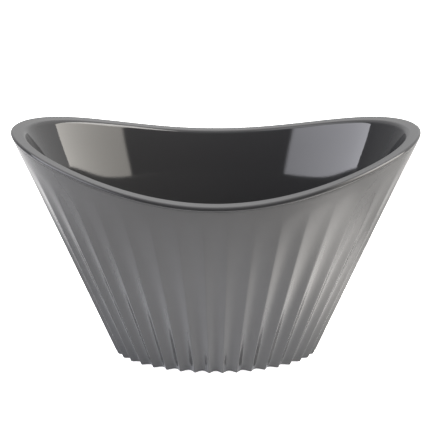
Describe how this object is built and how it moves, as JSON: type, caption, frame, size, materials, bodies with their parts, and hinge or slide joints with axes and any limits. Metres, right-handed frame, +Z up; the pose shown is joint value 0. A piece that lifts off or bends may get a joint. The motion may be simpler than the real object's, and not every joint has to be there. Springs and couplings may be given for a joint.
{
  "type": "oval serving bowl",
  "caption": "Deep oval chip serving bowl with a saddle-shaped flat rim, a smooth gloss inside and a fluted outside that tapers to a scalloped foot.",
  "frame": {"origin": "centre of the underside of the base pad, the face the bowl rests on", "axes": "+Z up out of the bowl's mouth, +X along the long side of the oval towards one high end of the rim, +Y across the bowl"},
  "size_m": [0.2998, 0.1696, 0.1843],
  "materials": {
    "shell_plastic": "satin gloss",
    "liner_plastic": "high gloss",
    "seal_rubber": "matte",
    "pad_rubber": "matte"
  },
  "bodies": {
    "root": {"outer_shell": "shell_plastic", "inner_liner": "liner_plastic", "rim_seal": "seal_rubber", "base_pad": "pad_rubber"}
  },
  "joints": []
}
